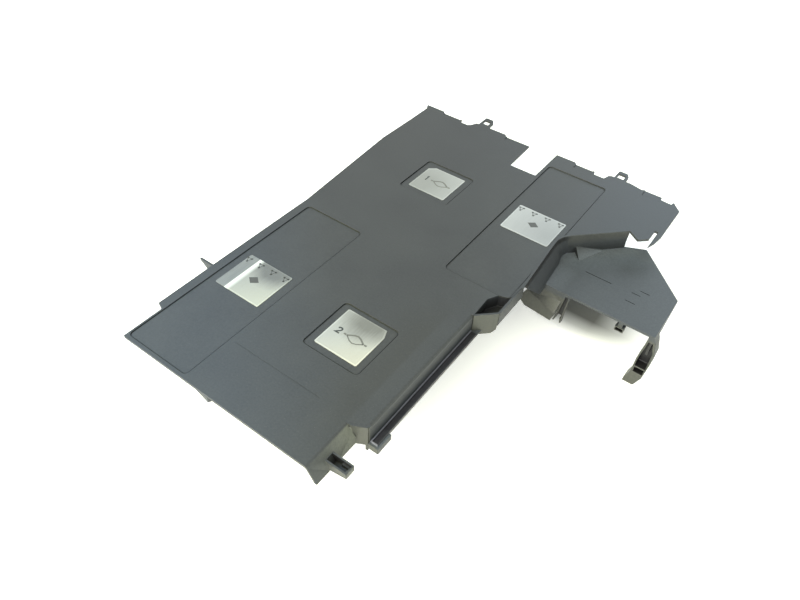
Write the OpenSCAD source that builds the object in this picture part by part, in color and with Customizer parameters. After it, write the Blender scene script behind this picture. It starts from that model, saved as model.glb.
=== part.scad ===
// Server air baffle shroud: one thin moulding that roofs the air path over two
// processors and two memory banks, with foil stickers and a seal strip on it.
// X runs across the shroud, Y from its open front edge to its rear edge, Z up.

/* [Deck] */
// Height of the deck's top face above the surface that the shroud stands on
deck_h = 84; // [70:1:100]
// Thickness of the moulded deck
skin = 2.2; // [1.8:0.1:3]
// Thickness of hanging walls and ribs
wall_t = 2; // [1.6:0.1:2.6]
// Distance from the front edge to the rear edge
deck_l = 433; // [428:1:440]
// Distance from the left tray's edge to the top of the front slope
front_w = 180.4; // [176:0.5:184]
// Y of the line where the front strip ends and the seal ledge begins
strip_y = 44; // [40:1:50]
// How far the left side flange stands out from the tray
flange_w = 8.3; // [6:0.1:10]
// How far the left side flares out towards the rear
flare = 10.1; // [6:0.5:14]

/* [Trays and stickers] */
// Y of the middle of the front pair of bays
front_row_y = 105; // [102:0.5:108]
// Distance from the front pair of bays to the rear pair
row_pitch = 209.5; // [207:0.5:212]
// Width of each memory tray
tray_w = 63; // [58:0.5:66]
// Length of the front memory tray
front_tray_l = 204; // [190:1:206]
// Length of the rear memory tray
rear_tray_l = 198; // [190:1:200]
// X of the rear memory tray's left edge
rear_tray_x = 145; // [143:0.5:148]
// Depth of trays and processor pockets
tray_d = 0.8; // [0.6:0.1:1.2]
// Width of the groove round each tray and pocket
groove_w = 0.9; // [0.6:0.1:1.2]
// Depth of that groove below the tray's floor
groove_d = 0.5; // [0.3:0.1:0.6]
// Corner radius of trays and pockets
tray_r = 4; // [2:0.5:6]
// Side of the square pocket over each processor
pocket_w = 54; // [50:0.5:58]
// X of the front processor pocket's middle
front_cpu_x = 133; // [130:0.5:136]
// X of the rear processor pocket's middle
rear_cpu_x = 71.5; // [69:0.5:74]
// Side of a processor sticker
cpu_label_w = 40.5; // [36:0.5:44]
// Size of a memory sticker along X
mem_label_x = 48.5; // [42:0.5:52]
// Size of a memory sticker along Y
mem_label_y = 42; // [38:0.5:46]
// Thickness of a sticker
label_t = 0.4; // [0.3:0.05:0.6]

/* [Right side] */
// Radius of the deck's edge along the seal ledge
edge_r = 2.5; // [1:0.1:2.6]
// Radius of the deck's edge along the front slope
slope_r = 3; // [1:0.5:4]
// X of the wall beside the seal ledge
ledge_x = 194.5; // [192:0.5:197]
// Width of the seal ledge
ledge_w = 6.5; // [6:0.1:8]
// Depth of the seal ledge below the deck
ledge_drop = 18; // [16:0.5:20]
// Y of the seal ledge's rear end
ledge_end_y = 184; // [176:1:190]
// Thickness of the seal strip
seal_t = 1.5; // [1:0.1:2]
// Drop of the front slope
slope_drop = 14; // [12:0.5:16]
// Run of the front slope
slope_run = 8.5; // [7:0.5:10]
// X of the finger recess's outer wall
recess_x = 211; // [209:0.5:213]

/* [Hood] */
// Depth of the hood's top face below the deck
hood_drop = 20; // [18:0.5:24]
// Y of the hood's front edge
hood_y = 273.5; // [270:0.5:277]
// X of the hood's right edge
hood_x = 318.5; // [314:0.5:322]
// Run of the curved side wall between deck and hood
side_run = 9.5; // [7:0.5:12]
// Length of the hood's right edge
hood_side_l = 54.5; // [50:0.5:58]
// Width of the leg at the hood's corner
leg_w = 12; // [10:0.5:14]
// Depth of the leg along Y
leg_d = 11; // [9:0.5:14]

/* [Rear edge] */
// X of the rear notch's left side
notch_x = 112; // [109:0.5:115]
// Width of the rear notch
notch_w = 29.5; // [26:0.5:33]
// Depth of the rear notch
notch_d = 45; // [40:0.5:50]
// X of the middle of the left loop tab
loop_a_x = 51.5; // [49:0.5:54]
// X of the middle of the right loop tab
loop_b_x = 211; // [208:0.5:213]
// Width of a loop tab
loop_w = 11; // [10:0.5:12]
// Length of a loop tab
loop_l = 17; // [15:0.5:19]
// Width of the slot in a loop tab
slot_w = 7; // [6:0.5:8]
// Length of the slot in a loop tab
slot_l = 7.5; // [6:0.5:9]
// X of the right side of the deck's rear section
right_x = 278.4; // [276:0.2:281]

/* [Hidden] */

rear_row_y = front_row_y + row_pitch;
edge_gap = 0.5;
leg_out = 5.5;
fin_reach = 14.5;
box_y = 13.8;
box_w = 8.8;
rear_label_shift = 1;
left_x = -flange_w;
flare_x = left_x - flare;
hook = 2.5;
rib_gap = 0.6;
rib_w = 0.7;
rib_h = seal_t + 0.4;
front_rim = 3;
step_x = -1.5;
step_y = 37;
boss_y = 0.4;
diag_a = [212.5, 324.5];
diag_b = [252.4, 366];
end_slope = 4.8;
end_y = strip_y + end_slope;
ledge_z = deck_h - ledge_drop;
hood_z = deck_h - hood_drop;
flange_end_y = 355;
flare_y = 212;
bend_y = 345;
catch_x = right_x - 7.8;
catch_end_y = 381.2;
leg_x = hood_x + leg_out;
rear_y = deck_l + 3.5;
loop_y = deck_l + 3 + loop_l - 1;
x_mid = (min(left_x - fin_reach, flare_x - hook) + leg_x) / 2;
y_mid = loop_y / 2;

// ---- Outlines -------------------------------------------------------------

function unit(v) = v / norm(v);
function right_of(d) = [d.y, -d.x];

// The points that round the corner q between p and s with radius r
function corner(p, q, s, r) =
    r <= 0 ? [q] :
    let (u = unit(p - q), v = unit(s - q), half = acos(u * v) / 2)
    let (c = q + unit(u + v) * r / sin(half), a = q + u * r / tan(half), b = q + v * r / tan(half))
    let (from = atan2(a.y - c.y, a.x - c.x), to = atan2(b.y - c.y, b.x - c.x))
    let (turn = (to - from + 540) % 360 - 180, n = max(2, ceil(abs(turn) / 18)))
    [for (i = [0:n]) c + r * [cos(from + turn * i / n), sin(from + turn * i / n)]];

function xy(p) = [p[0], p[1]];
function radius(p) = len(p) > 2 ? p[2] : 0;

// A closed outline whose points are [x, y] or [x, y, corner radius]
function rounded(pts) = let (n = len(pts)) [
    for (i = [0:n - 1])
        each corner(xy(pts[(i + n - 1) % n]), xy(pts[i]), xy(pts[(i + 1) % n]), radius(pts[i]))
];

// An open path of the same kind of points, with its ends kept
function path(pts) = let (n = len(pts)) [
    xy(pts[0]),
    for (i = [1:n - 2]) each corner(xy(pts[i - 1]), xy(pts[i]), xy(pts[i + 1]), radius(pts[i])),
    xy(pts[n - 1])
];

// The direction of the path p at its point i, halfway round a bend
function heading(p, i) = unit(
    (i > 0 ? unit(p[i] - p[i - 1]) : [0, 0]) + (i < len(p) - 1 ? unit(p[i + 1] - p[i]) : [0, 0])
);

// An open path moved sideways by d, towards its right
function shifted(p, d) = [
    for (i = [0:len(p) - 1])
        let (u = heading(p, i), v = unit(p[min(i + 1, len(p) - 1)] - p[min(i, len(p) - 2)]))
            p[i] + right_of(u) * d / (u * v)
];
function reversed(p) = [for (i = [len(p) - 1:-1:0]) p[i]];

function box_pts(cx, cy, w, l, r) = [
    [cx - w / 2, cy - l / 2, r], [cx + w / 2, cy - l / 2, r],
    [cx + w / 2, cy + l / 2, r], [cx - w / 2, cy + l / 2, r]
];

// The deck's edge above the curved side wall and the diagonal wall
side_edge = path([[recess_x, 237], [204.8, 316.6, 24], diag_b]);

// The deck's edge round the far side of the finger recess
recess_far = [
    [ledge_x - 0.5, ledge_end_y + 22, 3], [ledge_x + 5, ledge_end_y + 32.5, 3],
    [recess_x - 5.5, ledge_end_y + 34.5, 2], [recess_x - 2.3, ledge_end_y + 37.5, 1.5],
    [recess_x - 1.5, 234, 2]
];

// The deck's rear edge, left section, from its outer corner to the notch
rear_left = [
    [notch_x, deck_l - notch_d, 1], [notch_x - 1, deck_l, 0.8],
    [loop_a_x + 30.5, deck_l], [loop_a_x + 28.5, deck_l + 2.7, 1], [loop_a_x + 8.5, deck_l + 2.7],
    [loop_a_x - 8, deck_l + 2.2, 1], [loop_a_x - 11, deck_l - 4.5, 1], [loop_a_x - 14, deck_l - 7.5, 1],
    [loop_a_x - 23.5, deck_l - 7.5, 1], [loop_a_x - 24, deck_l - 2.6],
    [loop_a_x - 47.5, deck_l - 2.6], [loop_a_x - 50, deck_l - 0.3, 1],
    [flare_x - hook, deck_l - 0.3, 0.8]
];

// The deck's rear edge, right section, from the flange to the notch
rear_right = [
    [right_x, deck_l - 8, 1], [right_x - 7.4, deck_l],
    [right_x - 9.5, deck_l + 2.6, 0.8], [right_x - 10.5, deck_l - 2],
    [right_x - 21, deck_l - 2], [right_x - 21.6, rear_y + 0.5, 0.8], [loop_b_x + 28, rear_y + 0.5],
    [loop_b_x + 25, rear_y - 1.2, 1], [loop_b_x + 12, rear_y + 1.6, 1], [loop_b_x + 7, rear_y + 1.6],
    [loop_b_x - 8, rear_y + 1.6, 1], [loop_b_x - 11, rear_y, 1], [loop_b_x - 13, deck_l - 4, 1],
    [loop_b_x - 24, deck_l - 4, 1], [loop_b_x - 25, deck_l + 1.2, 1], [loop_b_x - 46, deck_l + 1.2],
    [loop_b_x - 48.5, rear_y, 1], [notch_x + notch_w, rear_y, 0.8],
    [notch_x + notch_w, deck_l - notch_d, 1]
];

deck_outline = rounded([
    [step_x, 0, 0.8], [front_w, 0], [front_w, strip_y - 0.6], [ledge_x - 1.5, end_y - 0.6, 1.5],
    [ledge_x, end_y + 1, 0.8], [ledge_x, ledge_end_y], for (p = recess_far) p,
    for (p = side_edge) p,
    [diag_b.x + 10.6, diag_b.y - 7.6, 0.5], [catch_x, diag_b.y, 0.5], [catch_x, catch_end_y, 0.5],
    [catch_x + 3, catch_end_y], [catch_x + 3, flange_end_y], [right_x - 1.6, flange_end_y + 10, 2],
    [right_x, flange_end_y + 22, 4],
    for (p = rear_right) p,
    for (p = rear_left) p,
    [flare_x + 1, deck_l - 7], [flare_x + 0.9, deck_l - 40, 20], [flare_x, bend_y, 60],
    [left_x, flare_y, 60], [left_x, step_y + 1.5, 1.5], [step_x, step_y - 0.5, 0.5]
]);

// ---- Building blocks --------------------------------------------------------

// A plate of the given outline whose top face lies at z
module plate(pts, z, t) {
    translate([0, 0, z - t]) linear_extrude(t) polygon(pts);
}

// A straight upright wall of thickness t from p to q, on the line's left side
module wall(p, q, z0, z1, t = wall_t) {
    d = q - p;
    translate([p.x, p.y, z0]) rotate([0, 0, atan2(d.y, d.x)]) cube([norm(d), t, z1 - z0]);
}

// A run of upright walls centred on a path
module wall_run(pts, z0, z1, t = wall_t) {
    translate([0, 0, z0]) linear_extrude(z1 - z0)
        polygon(concat(shifted(pts, t / 2), reversed(shifted(pts, -t / 2))));
}

// A section in the XZ plane carried along Y from y0 for a length l
module along_y(section, y0, l) {
    translate([0, y0 + l, 0]) rotate([90, 0, 0]) linear_extrude(l) polygon(section);
}

// A section in the YZ plane carried along X from x0 for a length l
module along_x(section, x0, l) {
    translate([x0, 0, 0]) rotate([90, 0, 90]) linear_extrude(l) polygon(section);
}

// What a rounding of radius r takes off the right edge [x, z] that falls by fall degrees
function edge_chip(x, z, r, fall) =
    let (t = r * tan(fall / 2), n = 6)
    concat([[x - t, z + 1]], [for (i = [0:n]) [x - t + r * sin(fall * i / n), z - r + r * cos(fall * i / n)]],
        [[x + 2 * r, z - t * sin(fall)], [x + 2 * r, z + 1]]);

// ---- Deck -------------------------------------------------------------------

// Short recessed lips where the rear edge hooks under its neighbour
module rear_lips() {
    lip_w = 7;
    for (s = [[loop_a_x - 47, 21], [loop_a_x + 32, 28], [loop_b_x - 46, 19], [loop_b_x + 28, 18]])
        translate([s[0], deck_l - lip_w + 1, deck_h - tray_d]) cube([s[1], lip_w + 8, tray_d + 1]);
}

// The hairline that parts the front strip from the rest of the deck
module front_crease() {
    translate([tray_w + 6, strip_y + 2.4, deck_h - 0.2]) cube([(front_w - tray_w) * 0.7, 0.9, 1]);
}

// A panel w by l sunk into the deck round c, with a groove along its edge
module sunk_panel(c, w, l) {
    inset = 2 * groove_w;
    plate(rounded(box_pts(c.x, c.y, w, l, tray_r)), deck_h + 1, tray_d + 1);
    difference() {
        plate(rounded(box_pts(c.x, c.y, w, l, tray_r)), deck_h, tray_d + groove_d);
        plate(rounded(box_pts(c.x, c.y, w - inset, l - inset, tray_r - groove_w)), deck_h + 1, skin + 2);
    }
}

module loop_slots() {
    for (x = [loop_a_x, loop_b_x])
        translate([x - slot_w / 2, loop_y - loop_l + 4.6, deck_h - skin - 5]) cube([slot_w, slot_l, skin + 10]);
}

module deck() {
    difference() {
        union() {
            plate(deck_outline, deck_h, skin);
            for (x = [loop_a_x, loop_b_x])
                plate(rounded([
                    [x - loop_w / 2, deck_l - 2], [x + loop_w / 2 + 2, deck_l - 2],
                    [x + loop_w / 2 + 1, loop_y - 5, 2], [x + loop_w / 2 - 2, loop_y, 2],
                    [x - loop_w / 2, loop_y, 1.5]
                ]), deck_h, skin);
        }
        sunk_panel([tray_w / 2, front_row_y], tray_w, front_tray_l);
        sunk_panel([rear_tray_x + tray_w / 2, rear_row_y], tray_w, rear_tray_l);
        sunk_panel([front_cpu_x, front_row_y], pocket_w, pocket_w);
        sunk_panel([rear_cpu_x, rear_row_y], pocket_w, pocket_w);
        rear_lips();
        front_crease();
        loop_slots();
    }
}

// The rounding of the deck's right edge, taken off the slope and the ledge wall
module right_edge_rounding() {
    fall = atan2(slope_drop, slope_run);
    along_y(edge_chip(front_w, deck_h, slope_r, fall), -1, strip_y - 0.5);
    along_y(edge_chip(ledge_x, deck_h, edge_r, 90), end_y + 2, ledge_end_y - end_y - 3);
}

// ---- Right edge ---------------------------------------------------------------

// The sloped apron along the front strip
module front_slope() {
    z = deck_h - slope_drop;
    t = wall_t * norm([slope_run, slope_drop]) / slope_drop;
    along_y([
        [front_w, deck_h], [front_w + slope_run, z], [front_w + slope_run - t, z],
        [front_w - t, deck_h]
    ], 0, strip_y - 1);
}

// The open box that stands out of the front slope, with a raised inner step
module side_box() {
    t = 1.4;
    x0 = front_w + 2.5;
    x1 = ledge_x + 8;
    x2 = x0 + 11;
    z = deck_h - 6;
    difference() {
        along_y([[x0, z], [x1, z], [x1, z - 5.5], [x0, z - 9.5]], box_y, box_w);
        along_y([[x0 + 1.8, z + 1], [x1 - t, z + 1], [x1 - t, z - 5.5 + t], [x2, z - 6.5 + t],
            [x0 + 1.8, z - 9 + t]], box_y + t, box_w - 2 * t);
    }
    along_y([[x2, z - 2.5], [x1 - 0.5, z - 2.5], [x1 - 0.5, z - 5], [x2, z - 5]], box_y + box_w - t - 1.6, 2);
}

// The end wall from the front slope to the seal ledge
module end_wall() {
    foot = deck_h - ledge_drop - 6;
    wall([front_w, strip_y - 3], [ledge_x - 0.6, end_y - 0.8], foot + 3, deck_h);
    wall([ledge_x + 0.2, end_y - 1.2], [ledge_x + ledge_w + 2, end_y - 1.2], foot, ledge_z);
    translate([ledge_x + ledge_w, end_y - 1.2, foot]) cube([2, 16, ledge_drop / 3]);
}

// The seal ledge, with the upright wall that carries it
module seal_ledge() {
    l = ledge_end_y + 8 - end_y;
    along_y([
        [ledge_x - wall_t, deck_h], [ledge_x, deck_h], [ledge_x, ledge_z],
        [ledge_x + ledge_w, ledge_z], [ledge_x + ledge_w, ledge_z - wall_t],
        [ledge_x - wall_t, ledge_z - wall_t]
    ], end_y, l);
    along_y([
        [ledge_x - 8, deck_h - skin / 2], [ledge_x - 6, deck_h - skin / 2],
        [ledge_x - 6, deck_h / 2], [ledge_x - 8, deck_h / 2]
    ], end_y + 6, l - 12);
}

// The thin rib that frames the seal strip on its inner side and near end
module seal_rib() {
    y0 = end_y + rib_gap;
    translate([ledge_x + rib_gap, y0, ledge_z - 0.5]) cube([rib_w, ledge_end_y - y0 - 2, rib_h + 0.5]);
    translate([ledge_x + rib_gap, y0, ledge_z - 0.5]) cube([ledge_w - rib_gap, rib_w, rib_h + 0.5]);
}

// The finger recess behind the seal ledge
module finger_recess() {
    t = 1.8;
    depth = 13;
    foot = deck_h - depth - t;
    near = [[ledge_x, ledge_end_y], [recess_x - 1.6, ledge_end_y + 14.6]];
    rim = concat([near[1]], [[recess_x - 1.6, 240]]);
    far = shifted(concat([[ledge_x, ledge_end_y - 2]], [for (p = recess_far) xy(p)]), -t / 2 - edge_gap);
    plate(concat(near, reversed(far)), foot + t, t);
    wall_run(rim, foot, deck_h - 0.4, t);
    wall_run(far, foot, deck_h - skin / 2, t);
    difference() {
        wall_run(near, ledge_z - 5, deck_h - 0.4, t);
        translate([recess_x, ledge_end_y + 15, ledge_z - 6]) rotate([0, 0, 45]) rotate([0, 45, 0])
            cube([9, 8, 9], center = true);
    }
}

// The curved wall that drops from the deck's edge to the hood, turning upright
// as it rounds the inner corner and runs along the diagonal
function side_turn(i) =
    let (d0 = heading(side_edge, 0), d1 = heading(side_edge, len(side_edge) - 1), d = heading(side_edge, i))
    min(1, acos(min(1, d0 * d)) / acos(d0 * d1));
function side_foot(i, out = 0) =
    side_edge[i] + right_of(heading(side_edge, i)) * (side_run * (1 - side_turn(i)) + out);

module side_wall() {
    cut = [[230, deck_h - 1], [diag_a.y - 86, deck_h - 1], [diag_a.y - 63, deck_h - hood_drop - 3],
        [230, deck_h - hood_drop - 3]];
    difference() {
        side_wall_loft();
        along_x(cut, recess_x - 5, side_run + 10);
    }
}

module side_wall_loft() {
    levels = 6;
    n = len(side_edge);
    row = 2 * (levels + 1);
    drop = hood_drop + skin;
    // outer points go down the face, inner points come back up behind it
    pts = [for (i = [0:n - 1]) each [
        for (k = [0:levels]) let (f = k / levels, s = (1 - cos(180 * f)) / 2)
            let (p = side_edge[i] + (side_foot(i) - side_edge[i]) * s) [p.x, p.y, deck_h - drop * f],
        for (k = [levels:-1:0]) let (f = k / levels, s = (1 - cos(180 * f)) / 2)
            let (p = side_edge[i] + (side_foot(i) - side_edge[i]) * s
                - right_of(heading(side_edge, i)) * wall_t) [p.x, p.y, deck_h - drop * f]
    ]];
    last = (n - 1) * row;
    faces = [
        for (k = [0:levels - 1]) [k, k + 1, row - 2 - k, row - 1 - k],
        for (k = [0:levels - 1]) [last + row - 1 - k, last + row - 2 - k, last + k + 1, last + k],
        for (i = [0:n - 2]) for (j = [0:row - 1]) let (a = i * row + j, b = i * row + (j + 1) % row) each
            [[a, a + row, b], [b, a + row, b + row]]
    ];
    polyhedron(pts, faces, convexity = 6);
}

// ---- Hood -----------------------------------------------------------------------

hood_outline = rounded([
    [side_foot(1, -1).x, hood_y], [hood_x, hood_y, 1], [hood_x, hood_y + hood_side_l, 1],
    [hood_x - 47.7, hood_y + hood_side_l + 48.5, 1], [diag_b.x - 1, diag_b.y + 1],
    for (i = [len(side_edge) - 2:-1:2]) side_foot(i, -1)
]);

// The wall under the left part of the hood's front edge
module hood_skirt() {
    x = recess_x;
    along_y([
        [x - 9, hood_z - 1], [x + 26.4, hood_z - 1], [x + 21.6, hood_z - 29], [x + 18.5, hood_z - 38.6],
        [x - 8.5, hood_z - 35.8], [x - 13.5, hood_z - 31], [x - 13.5, hood_z - 24], [x - 10, hood_z - 17]
    ], hood_y, wall_t);
}

// The lip that turns out of the skirt, wide at the right and dying out to the left
module skirt_lip() {
    t = 1.6;
    hull() for (p = [[-9, 0.2, -17], [22, 0.2, -12.5], [21, -8.5, -21]])
        translate([recess_x + p.x, hood_y + p.y, hood_z + p.z]) cube([t, t, t]);
}

// The forked rib that hangs from the hood's front edge: a channel whose two walls
// run on as prongs
module forked_rib() {
    x = hood_x - 81.8;
    z = hood_z;
    difference() {
        along_y([
            [x, z - 1], [x + 4.6, z - 1], [x + 2.8, z - 29], [x + 2.8, z - 35.8], [x + 1.6, z - 35.8],
            [x + 0.8, z - 29.5], [x - 1.8, z - 29], [x - 4, z - 35.8], [x - 5.4, z - 35.8], [x - 3.4, z - 27]
        ], hood_y + 0.2, 4.6);
        along_y([[x + 0.8, z - 3.5], [x + 3.7, z - 3.5], [x + 1.9, z - 30], [x - 2.4, z - 30]], hood_y - 1, 4.8);
    }
}

// The small clip under the hood's front edge: a pocket on a stem
module cable_clip() {
    x = hood_x - 33.4;
    z = hood_z - 12.4;
    difference() {
        translate([x, hood_y, z]) cube([8, 6, 4.8]);
        translate([x + 0.8, hood_y - 1, z + 0.9]) cube([6.4, 6, 3]);
    }
    translate([x + 2, hood_y + 1, z + 4.5]) cube([4, 2.4, 6.4]);
}

// The leg at the hood's outer corner: a channel, open to the front, on a foot
module corner_leg() {
    x = leg_x - leg_w;
    outline = [
        [x + 2, hood_z - 0.5], [hood_x - 0.5, hood_z - 0.5], [hood_x + 2.4, hood_z - 7],
        [leg_x, hood_z - 19], [leg_x, hood_z - 33], [leg_x - 1.6, 12],
        [leg_x - 6, 0], [x - 4, 0], [x - 3.6, 4], [x - 0.5, 15], [x - 0.5, hood_z - 31], [x + 1.3, hood_z - 15]
    ];
    difference() {
        along_y(outline, hood_y, leg_d);
        along_y([[x + 3.4, hood_z - 8], [hood_x + 0.8, hood_z - 8], [leg_x - 1.8, hood_z - 20],
            [leg_x - 1.8, 24], [x + 1, 24], [x + 1, hood_z - 30]], hood_y - 1, leg_d - 1);
        translate([x + 1.4, hood_y - 1, 16.4]) cube([leg_w - 3.6, leg_d, 6]);
    }
}

// The tapering wall along the hood's right edge that braces the leg
module hood_side() {
    y1 = hood_y + hood_side_l - 2;
    along_x([[hood_y + 1, hood_z - 1], [hood_y + 1, hood_z - 24], [hood_y + leg_d + 2, hood_z - 24],
        [y1, hood_z - 5], [y1, hood_z - 1]], hood_x - wall_t, wall_t);
}

// The ramp that rises from the hood against the diagonal wall and dies out along it
module hood_ramp() {
    rise = 7;
    run = 12;
    length = 27;
    d = unit(diag_b - diag_a);
    translate([diag_a.x, diag_a.y, hood_z - 1]) rotate([0, 0, atan2(d.y, d.x)]) translate([7.6, -0.4, 0]) hull() {
        rotate([90, 0, 90]) linear_extrude(0.5) polygon([[0, 0], [-run, 0], [-run, 1], [0, rise + 1]]);
        translate([length, -2, 0]) cube([0.5, 2, 1.2]);
    }
}

// Short moulded lines in the hood's top face
module hood_grooves() {
    for (g = [[238, 311, 25, 0.9], [282, 312, 8, 0.8], [287, 318.5, 9, 0.8], [281, 299.5, 9, 0.8]])
        translate([g[0], g[1], hood_z - 0.5]) cube([g[2], g[3], 1]);
}

module hood() {
    difference() {
        plate(hood_outline, hood_z, skin);
        hood_grooves();
    }
    hood_skirt();
    skirt_lip();
    forked_rib();
    cable_clip();
    corner_leg();
    hood_side();
    hood_ramp();
}

// ---- Underside and left side --------------------------------------------------------

// Walls that carry the deck and part the bays, standing on the board
module bay_walls() {
    top = deck_h - skin / 2;
    wall_run(shifted([[left_x, step_y + 2], [left_x, flare_y], [flare_x, bend_y], [flare_x + 1, deck_l - 8]],
        wall_t / 2 + edge_gap), 0, top);
    wall_run([[tray_w + 2, 50], [tray_w + 2, front_row_y + front_tray_l / 2 + 2]], 0, top);
    rear_x = rear_tray_x - 1.6;
    wall_run([[rear_x, rear_row_y - rear_tray_l / 2], [rear_x, deck_l - notch_d - 2]], 0, top);
}

// The triangular fin on the left side
module left_fin() {
    z = deck_h - 0.3;
    tip = left_x - fin_reach;
    along_y([[left_x + 2, z], [tip, z], [tip, z - 1], [left_x + 2, z - 16]], 94.5, 2);
}

// The wedge-shaped boss under the front edge
module front_boss() {
    plate([[60, 4.8], [87, boss_y], [89.5, 4.8]], deck_h - skin / 2, 9);
}

// ---- Nodes ----------------------------------------------------------------------------

module place() {
    translate([-x_mid, -y_mid, 0]) children();
}

module shroud() {
    color([0.29, 0.30, 0.30]) place() {
        difference() {
            union() {
                deck();
                front_slope();
                end_wall();
                seal_ledge();
            }
            right_edge_rounding();
        }
        side_box();
        seal_rib();
        finger_recess();
        side_wall();
        hood();
        bay_walls();
        left_fin();
        front_boss();
    }
}

// A foil sticker with rounded corners, lying on the floor of a tray or pocket. Its
// rear left corner can be cut off by cut.x along X and cut.y along Y.
module label(c, w, l, cut = [0, 0]) {
    p = box_pts(c.x, c.y, w, l, 2);
    q = p[3];
    far = cut.x > 0 ? [[q.x + cut.x, q.y, 2], [q.x, q.y - cut.y, 1]] : [q];
    place() plate(rounded(concat([p[0], p[1], p[2]], far)), deck_h - tray_d + label_t, label_t);
}

module cpu_label_1() {
    color([0.78, 0.79, 0.77]) label([rear_cpu_x, rear_row_y], cpu_label_w, cpu_label_w, [8, 3.6]);
}

module cpu_label_2() {
    color([0.78, 0.79, 0.77]) label([front_cpu_x, front_row_y], cpu_label_w, cpu_label_w);
}

module memory_label_front() {
    color([0.78, 0.79, 0.77]) label([tray_w / 2, front_row_y], mem_label_x, mem_label_y);
}

module memory_label_rear() {
    color([0.78, 0.79, 0.77])
        label([rear_tray_x + tray_w / 2 + rear_label_shift, rear_row_y], mem_label_x, mem_label_y);
}

// The seal strip, lying on the ledge with a small chamfer along its top
module edge_seal() {
    c = 0.4;
    x0 = ledge_x + rib_gap + rib_w + 0.1;
    y0 = end_y + rib_gap + rib_w + 0.1;
    x1 = ledge_x + ledge_w;
    color([0.06, 0.06, 0.07]) place()
        along_y([[x0, ledge_z], [x1, ledge_z], [x1, ledge_z + seal_t - c], [x1 - c, ledge_z + seal_t],
            [x0 + c, ledge_z + seal_t], [x0, ledge_z + seal_t - c]], y0, ledge_end_y - y0 - 2.5);
}

shroud();
cpu_label_1();
cpu_label_2();
memory_label_front();
memory_label_rear();
edge_seal();
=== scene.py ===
"""Looks of the server air baffle shroud: a thin matte moulding with foil stickers and a seal strip."""

import logging
import math
from dataclasses import dataclass, field, replace
from enum import Enum, IntEnum
from typing import Sequence

import bmesh
import bpy
from mathutils import Matrix, Vector


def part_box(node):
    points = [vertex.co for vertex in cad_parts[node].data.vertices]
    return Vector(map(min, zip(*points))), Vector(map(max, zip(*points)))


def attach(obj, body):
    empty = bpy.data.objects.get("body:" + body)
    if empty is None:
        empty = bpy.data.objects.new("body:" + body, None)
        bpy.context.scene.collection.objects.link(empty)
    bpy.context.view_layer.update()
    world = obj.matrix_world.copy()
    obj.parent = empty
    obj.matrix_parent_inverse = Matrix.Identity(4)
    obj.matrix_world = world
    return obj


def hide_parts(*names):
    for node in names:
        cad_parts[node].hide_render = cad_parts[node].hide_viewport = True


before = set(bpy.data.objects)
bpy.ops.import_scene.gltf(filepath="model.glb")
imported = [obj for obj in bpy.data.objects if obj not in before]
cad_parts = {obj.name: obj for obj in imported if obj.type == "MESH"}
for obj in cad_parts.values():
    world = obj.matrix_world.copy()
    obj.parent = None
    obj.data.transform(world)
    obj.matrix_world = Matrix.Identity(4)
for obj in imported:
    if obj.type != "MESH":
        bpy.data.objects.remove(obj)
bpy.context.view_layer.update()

ROOT = "root"
MM = 0.001

# The middle of the shroud in the frame of the part's source, where X starts at the left tray and Y at the front edge
DRAWING_MIDDLE = Vector((150.6, 226.0, 0.0))

log = logging.getLogger("shroud")

Colour = tuple[float, float, float]
Point = tuple[float, float]
Point3 = tuple[float, float, float]


def from_drawing(x: float, y: float, z: float = 0.0) -> Vector:
    """Turns a place in the frame of the part's source, in millimetres, into the row frame's metres.

    Args:
        x: Distance from the left tray's edge.
        y: Distance from the front edge.
        z: Height above the floor.

    Returns:
        The same place in metres in the row frame.
    """
    return (Vector((x, y, z)) - DRAWING_MIDDLE) * MM


class Layer(Enum):
    """How high a printed film lies above the top of its sticker, in millimetres."""

    BORDER = 0.02
    MARK = 0.03


# ---- Shader building --------------------------------------------------------


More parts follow.
